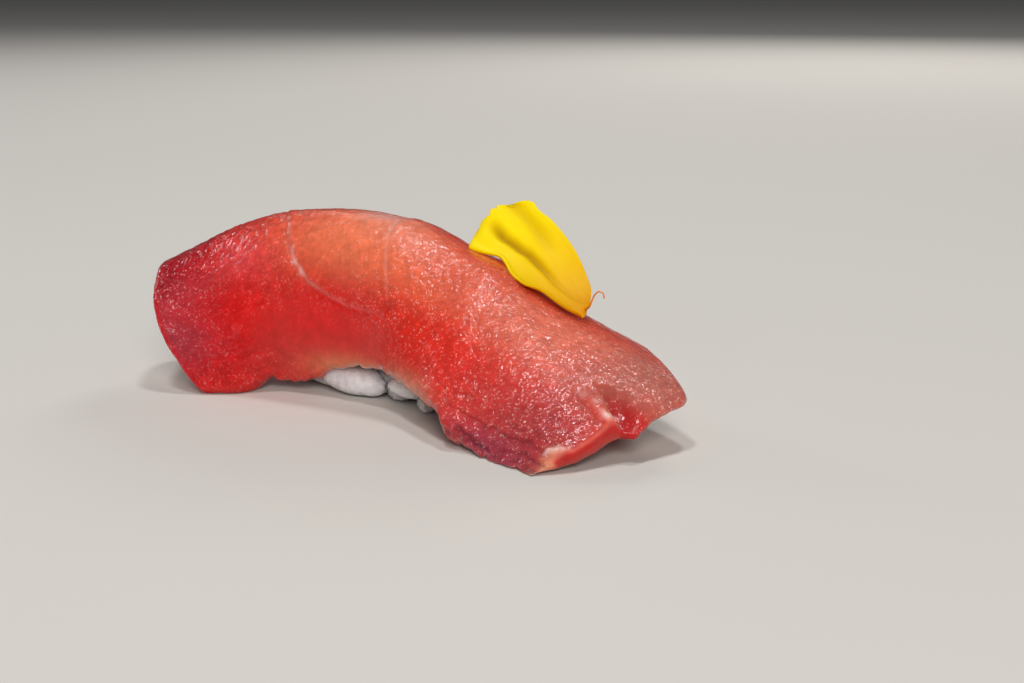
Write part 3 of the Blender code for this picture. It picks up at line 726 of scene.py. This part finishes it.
def makeRice():
    rng = np.random.default_rng(riceBall["seed"])
    fine, coarse = grainShape(16, 18), grainShape(9, 10)
    points, quads, fans, tones, middles = [], [], [], [], []

    def put(grain, placed, tone):
        # below `soft` a grain flattens on the table
        height, flat, soft = placed[:, 2], 0.02, 0.25
        placed[:, 2] = np.where(height < soft, flat + (soft - flat) * np.exp((height - soft) / 0.35), height)
        start = sum(len(old) for old in points)
        points.append(placed)
        quads.append(grain[1][0] + start)
        fans.append(grain[1][1] + start)
        tones.append(np.full(len(placed), tone))

    for middle, half, turn, tilt in riceBall["front"]:
        a, b = math.radians(turn), math.radians(tilt)
        along = (math.cos(a) * math.cos(b), math.sin(a) * math.cos(b), math.sin(b))
        put(fine, placeGrain(fine[0], middle, half, along, (0, 0, 1), 0.1), rng.uniform(0.5, 1))
        middles.append(np.array(middle))
    y0, z0 = riceBall["axis"]
    sizes, span = np.array(riceBall["grain"]), riceBall["span"]
    fineX, fineReach, fineY = riceBall["fine"]
    for _ in range(riceBall["tries"]):
        x = riceBall["middle"] + riceBall["half"] * rng.uniform(-span, span)
        angle = rng.uniform(*riceBall["turns"])
        turn, tilt, size = rng.normal(0, 0.7), rng.normal(0, 0.2), rng.uniform(0.84, 1.08)
        tone, bend = rng.uniform(0, 1), rng.uniform(-0.25, 0.25)
        depth = sizes[2] * riceBall["sink"] + rng.uniform(0, riceBall["uneven"])
        at = ballPoint(x, np.array([angle]), depth)[0]
        near = min(np.linalg.norm(at - middle) for middle in middles)
        if at[2] < sizes[2] * 0.7 or near < riceBall["spread"]:
            continue
        ahead = unit(ballPoint(x + 0.6, np.array([angle]), depth)[0] - at)
        sideways = unit(ballPoint(x, np.array([angle + 0.08]), depth)[0] - at)
        out = np.cross(sideways, ahead)
        out = out * np.sign(out @ (at - np.array([x, y0, z0])))
        along = ahead * math.cos(turn) + sideways * math.sin(turn) + out * math.sin(tilt)
        grain = fine if at[1] < fineY and abs(x - fineX) < fineReach else coarse
        placed = placeGrain(grain[0], at, sizes * size, along, out, bend)
        if placed[:, 2].min() > -riceBall["lowest"]:
            put(grain, placed, tone)
            middles.append(at)
    groups = [np.concatenate(quads), np.concatenate(fans)]
    return np.concatenate(points), groups, {"tone": np.concatenate(tones)}, len(middles)


def makeCore():
    # rings of the ball, set in, and 1 mm shorter at each end
    angle = np.linspace(-np.pi / 2, 1.5 * np.pi, 48, endpoint=False)
    middle, half, inset = riceBall["middle"], riceBall["half"] - 1.0, riceBall["coreInset"]
    xs = middle + half * -np.cos(np.linspace(0, np.pi, 42)[1:-1])
    rings = np.array([ballPoint(x, angle, min(inset, 0.5 * ballReach(x, angle, 0).min())) for x in xs])
    poles = [(middle + end * half, *riceBall["axis"]) for end in (-1, 1)]
    return closedRings(rings, poles)


# Cooked short-grain rice: swollen starch, milky and translucent, with a thin moist gloss.
def riceMaterial():
    material, shader, addNode = newMaterial("cooked short-grain rice, moist")
    tone = addNode("Attribute", {"attribute_name": "tone"}).outputs["Fac"]
    place = addNode("TexCoord").outputs["Object"]
    # cloudy patches, 0.9 mm and smaller
    cloud = addNode("TexNoise", {"Scale": 1100.0, "Detail": 4.0, "Roughness": 0.65}, {"Vector": place})
    mixed = addNode("Math", {"operation": "MULTIPLY_ADD", 1: 4.0}, {0: cloud, 2: tone})
    share = addNode("MapRange", {"From Min": 1.7, "From Max": 3.5}, {"Value": mixed})
    colour = addNode("Mix",
                     {"data_type": "RGBA", 6: riceBall["greyest"], 7: riceBall["whitest"]},
                     {"Factor": share})
    # painted glints: white spots 0.7 mm apart
    glintedRice = addNode("Mix", {"data_type": "RGBA", 7: riceBall["riceGlint"]},
                      {"Factor": glintFlecks(addNode, place, 1500.0, 0.45, 1.0), 6: colour.outputs[2]})
    skin = addNode("TexNoise", {"Scale": 1100.0, "Detail": 3.0}, {"Vector": place})
    bump = addNode("Bump", {"Distance": 0.00025, "Strength": 0.8}, {"Height": skin})
    beads = addNode("TexNoise", {"Scale": 1400.0, "Detail": 1.0}, {"Vector": place})
    filmBump = addNode("Bump", {"Distance": 0.0003, "Strength": 0.9}, {"Height": beads})
    gloss = addNode("MapRange", {"To Min": 0.22, "To Max": 0.42}, {"Value": cloud})
    setNode(shader,
            {"IOR": 1.42, "Subsurface Weight": 0.95, "Subsurface Scale": 0.0036,
             "Subsurface Radius": (1.0, 0.95, 0.9), "Coat Weight": 1.0,
             "Coat Roughness": 0.10, "Coat IOR": 1.4},
            {"Base Color": glintedRice.outputs[2], "Roughness": gloss,
             "Normal": bump, "Coat Normal": filmBump})
    return material


riceLook = riceMaterial()
points, groups, looks, grainCount = makeRice()
addMesh("rice_grains", points, groups, riceLook, "rice", looks)
points, groups = makeCore()
looks = {"tone": np.ones(len(points))}
addMesh("rice_core", points, groups, riceLook, None, looks)
print("rice:", grainCount, "grains")


petal = {
    "base": (29.4, 4.3, 12.3), "end": (14.9, 7.9, 22.3),    # middle line, mm
    # share of its length, mm: rise of its width, and width below and above the middle line
    "side": ((0, 0.1), (0.3, 0.25), (0.5, 0.45), (0.85, 0.6), (1, 0.6)),
    "lower": ((0, 0.35), (0.1, 1.25), (0.31, 2.2), (0.4, 3.15), (0.51, 3.33), (0.644, 2.85), (0.69, 2.8),
              (0.8, 4.0), (0.884, 4.75), (0.95, 3.5), (0.98, 2.7), (1, 2.0)),
    "upper": ((0, 0.3), (0.017, 0.6), (0.091, 2.18), (0.227, 4.02), (0.403, 4.85), (0.563, 5.1),
              (0.736, 4.9), (0.87, 4.32), (0.91, 4.4), (0.96, 3.8), (1, 2.4)),
    # where the two grooves run, mm above the middle line
    "groove": ((0.14, 1.66), (0.24, 1.35), (0.36, 1.01), (0.45, 0.89), (0.55, 0.69), (0.62, 0.47),
               (0.69, -0.06), (0.76, -0.48), (0.82, -0.92), (0.9, -1.1)),
    "second": ((0.5, 2.9), (0.65, 2.9), (0.8, 2.8), (0.88, 2.6), (1, 2.2)),
    "depths": (0.6, 0.4),       # of the two grooves
    "lip": 0.22,                # rise of the rolled lower edge
    "teeth": (0.28, 0.16),      # of the far edge, coarse and fine
    "bulge": 0.25,              # how far the far edge swells in its middle
    "thick": 0.32, "cup": 1.0, "bow": -0.7, "droop": 2.5,
    "rows": (121, 71), "rim": 0.012,    # points along and across; share of both that is rounded
    # the last colour here is the painted shade in the grooves
    "lemon": "#FFE200", "gold": "#DC9400", "grooved": "#A67A00",
}


def petalRows(count):
    turn = np.linspace(0, np.pi / 2, 6, endpoint=False)
    near = (1 - np.cos(turn)) * petal["rim"]
    middle = np.linspace(petal["rim"], 1 - petal["rim"], count - 2 * len(near))
    return np.concatenate([near, middle, 1 - near[::-1]])


def makePetal():
    # middle line from base to end, each row a width either side of it, bent by a channel
    along, across = petalRows(petal["rows"][0])[:, None], petalRows(petal["rows"][1])[None, :] * 2 - 1
    base, run = np.array(petal["base"]), np.array(petal["end"]) - petal["base"]
    line = unit(run)
    side = np.stack([0.2 + 0 * along, 1 + 0 * along, keyed(petal["side"], along)], -1)
    side = unit(side - (side @ line)[..., None] * line)
    up = np.cross(line, side)
    up = up * np.sign(up[..., 2:])
    wide = np.where(across < 0, keyed(petal["lower"], along), keyed(petal["upper"], along)) * across
    cup = petal["cup"] * (1 - across ** 2) * np.sin(np.pi * np.clip(along * 0.8 + 0.15, 0, 1))
    rise = petal["bow"] * np.sin(np.pi * along) - cup
    rise = rise - petal["droop"] * np.maximum(-across, 0) ** 2 * along ** 3
    # the main groove, a shorter shallow one above it, the rolled lower lip, and faint veins
    grooved = bell((wide - keyed(petal["groove"], along)) / (0.35 + 0.35 * along))
    grooved = grooved * (0.3 + 0.7 * smooth(0.25, 0.6, along)) * smooth(0.02, 0.2, along)
    grooved = grooved * (1 - smooth(0.84, 0.97, along))
    dished = bell((wide - keyed(petal["second"], along)) / 0.85) * smooth(0.5, 0.75, along)
    lip = petal["lip"] * bell((across + 0.93) / 0.10) * smooth(0.1, 0.3, along)
    veins = 0.004 * np.sin(across * 46 + 2 * along) + 0.05 * lumps(across * 4, along * 9, 1.3, 83)
    rise = rise - petal["depths"][0] * grooved - petal["depths"][1] * dished + lip + veins
    teeth = (petal["teeth"][0] * lumps(across * 5, 0, 0.55, 81)
             + petal["teeth"][1] * lumps(across * 5, 0, 0.24, 82)) * smooth(0.9, 1.0, along)
    bulge = petal["bulge"] * smooth(0.85, 1.0, along) * (1 - across ** 2)
    reach = along + (teeth + bulge) / np.linalg.norm(run)
    middle = base + reach[..., None] * run + wide[..., None] * side + rise[..., None] * up
    inward = np.minimum(np.minimum(along, 1 - along), (1 - np.abs(across)) / 2)
    half = petal["thick"] / 2 * np.sqrt(1 - np.clip(1 - inward / petal["rim"], 0, 1) ** 2)
    skins = [middle + half[..., None] * up, middle - half[..., None] * up]
    masks = {"groove": np.clip(grooved + 0.45 * dished, 0, 1), "alongPetal": along + 0 * across,
             "acrossPetal": across + 0 * along}
    index, inner = skinNumbers(*wide.shape)
    groups = [cells(index), cells(inner)[:, ::-1]]
    return joinSkins(*skins), groups, {key: joinSkins(mask, mask) for key, mask in masks.items()}


# A marigold-like ray petal: thin, matte and slightly waxy, so light passes through; it runs
# from lemon to deep gold, and shade is painted into its grooves.
def petalMaterial():
    material, shader, addNode = newMaterial("fresh yellow petal, thin and waxy")
    groove, along, across = (addNode("Attribute", {"attribute_name": name}).outputs["Fac"]
                             for name in ("groove", "alongPetal", "acrossPetal"))
    # faint veins follow the petal, about 0.2 mm apart
    path = addNode("CombineXYZ", None, {"X": along, "Y": across})
    stretch = addNode("VectorMath", {"operation": "MULTIPLY", 1: (3.0, 26.0, 1.0)}, {0: path})
    veins = addNode("TexNoise", {"Scale": 1.0, "Detail": 4.0}, {"Vector": stretch})
    veined = addNode("MapRange", {"From Min": 0.35, "From Max": 0.75, "To Max": 0.10}, {"Value": veins})
    # deeper gold toward the foot, and painted shade in the grooves
    foot = addNode("MapRange", {"From Min": 0.8, "From Max": 0.0}, {"Value": along})
    share = addNode("Math", {"operation": "ADD", "use_clamp": True}, {0: foot, 1: veined})
    golden = addNode("Mix", {"data_type": "RGBA", 6: petal["lemon"], 7: petal["gold"]}, {"Factor": share})
    # shade painted into the grooves
    grooveShare = addNode("Math", {"operation": "MULTIPLY", 1: 0.8}, {0: groove})
    colour = addNode("Mix", {"data_type": "RGBA", 7: petal["grooved"]},
                     {"Factor": grooveShare, 6: golden.outputs[2]})
    bump = addNode("Bump", {"Distance": 0.00003, "Strength": 0.3}, {"Height": veins})
    setNode(shader,
            {"IOR": 1.4, "Specular IOR Level": 0.25, "Roughness": 0.55, "Subsurface Weight": 0.35,
             "Subsurface Scale": 0.0006, "Subsurface Radius": (1.0, 0.8, 0.1)},
            {"Base Color": colour.outputs[2], "Normal": bump})
    return material


points, groups, looks = makePetal()
addMesh("petal_blade", points, groups, petalMaterial(), "petal", looks)
print("petal:", sum(len(group) for group in groups), "faces")


thread = {
    # the dry thread at the petal's foot, curling over at its end
    "path": ((29.0, 5.1, 12.75), (29.55, 4.8, 13.0), (30.05, 4.4, 13.37), (30.3, 4.35, 13.84),
             (30.68, 4.4, 14.65), (31.18, 4.45, 15.03), (31.69, 4.5, 14.87), (31.82, 4.5, 14.33)),
    "radius": 0.12, "taper": 0.45, "around": 10, "rings": 60,
    "dark": "#D86A10", "light": "#F29A24",
}


def makeThread():
    # a circle carried along a smooth curve through the points, tapering to the far end
    path, radius, rings = np.array(thread["path"]), thread["radius"], thread["rings"]
    at, t = np.arange(len(path)), np.linspace(0, len(path) - 1, rings)
    line = np.stack([keyed(np.column_stack([at, path]), t, k) for k in (1, 2, 3)], -1)
    ahead = unit(np.gradient(line, axis=0))
    first = unit(np.cross(ahead, (0.0, 1.0, 0.0)))
    other = np.cross(ahead, first)
    turn = np.linspace(0, 2 * np.pi, thread["around"], endpoint=False)[None, :, None]
    size = radius * (1 - thread["taper"] * np.linspace(0, 1, rings))[:, None, None]
    body = line[:, None] + size * (np.cos(turn) * first[:, None] + np.sin(turn) * other[:, None])
    ends = line[[0, -1]] + np.array([[-0.4], [0.4]]) * radius * ahead[[0, -1]]
    return closedRings(body, ends)


# The thread is dry and fibrous, a deeper orange than the petal.
def threadMaterial():
    material, shader, addNode = newMaterial("dry petal thread")
    place = addNode("TexCoord").outputs["Object"]
    fibre = addNode("TexNoise", {"Scale": 2500.0}, {"Vector": place})
    colour = addNode("Mix", {"data_type": "RGBA", 6: thread["dark"], 7: thread["light"]},
                     {"Factor": fibre})
    setNode(shader, {"Roughness": 0.55, "IOR": 1.4}, {"Base Color": colour.outputs[2]})
    return material


points, groups = makeThread()
addMesh("petal_thread", points, groups, threadMaterial())
print("thread done")


studio = {
    "floor": "#D6D3CE", "air": "#E9EBEE", "airStrength": 0.08,
    "floorHalf": 6.0, "floorGap": 0.00001,      # metres; the gap is under the piece
    # name, place in mm from the middle of the piece, width in mm, power, colour, mirrored or not
    "lights": (
        ("key", (-20, 230, 930), 150, 2.2, "#FFFFFF", True),
        ("second key", (-70, -200, 930), 150, 2.3, "#FFFFFF", True),
        ("back light", (-660, 520, 580), 110, 0.2, "#FFFFFF", True),
        ("left light", (-850, 100, 320), 150, 0.5, "#F6F8FF", True),
        ("front gleam", (560, -640, 520), 180, 0.22, "#FFFAF4", True),
        ("low gleam", (80, -900, 300), 70, 0.2, "#FFFFFF", True),
        ("front fill", (560, -640, 420), 420, 5.6, "#FFFAF4", False),
        ("back fill", (-250, 800, 430), 300, 2.3, "#FFFAF4", False),
    ),
    "lens": 63.28, "distance": 204.4, "azimuth": 35, "elevation": 12,
    "aim": (11.9, 7.2, -4.0),       # mm from the middle of the piece
}


def makeStudio():
    low, high = (np.array(corner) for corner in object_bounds())
    middle = (low + high) / 2
    floorMesh = bpy.data.meshes.new("floor")
    r = studio["floorHalf"]
    floorMesh.from_pydata([(-r, -r, 0), (r, -r, 0), (r, r, 0), (-r, r, 0)], [], [(0, 1, 2, 3)])
    floor = addObject("floor", floorMesh)
    floor.location.z = low[2] - studio["floorGap"]
    # painted board: matte and pale, so it shows only soft shadows
    material, shader, _ = newMaterial("pale studio board, matte")
    setNode(shader, {"Base Color": studio["floor"], "Roughness": 0.75})
    floorMesh.materials.append(material)
    floor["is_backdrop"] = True
    world = bpy.data.worlds.new("studio air")
    bpy.context.scene.world = world
    world.use_nodes = True
    setNode(world.node_tree.nodes["Background"],
            {"Color": studio["air"], "Strength": studio["airStrength"]})
    for name, place, width, power, colour, mirrored in studio["lights"]:
        light = bpy.data.lights.new(name, "AREA")
        light.shape = "DISK"
        light.size = width * mm
        light.energy = power
        light.color = linear(colour)
        lamp = addObject(name, light)
        lamp.location = middle + np.array(place) * mm
        lamp.visible_glossy = mirrored
        toward = middle - np.array(lamp.location)
        lamp.rotation_euler = Vector(toward).to_track_quat("-Z", "Y").to_euler()
    camera = addObject("camera", bpy.data.cameras.new("camera"))
    camera.data.lens = studio["lens"]
    camera.data.clip_start = 0.01
    a, e = math.radians(studio["azimuth"]), math.radians(studio["elevation"])
    back = np.array([math.sin(a) * math.cos(e), -math.cos(a) * math.cos(e), math.sin(e)])
    camera.location = middle + (np.array(studio["aim"]) + back * studio["distance"]) * mm
    camera.rotation_euler = Vector(-back).to_track_quat("-Z", "Y").to_euler()
    bpy.context.scene.camera = camera
    bpy.context.scene.view_settings.view_transform = "Standard"


makeStudio()
print("studio done")
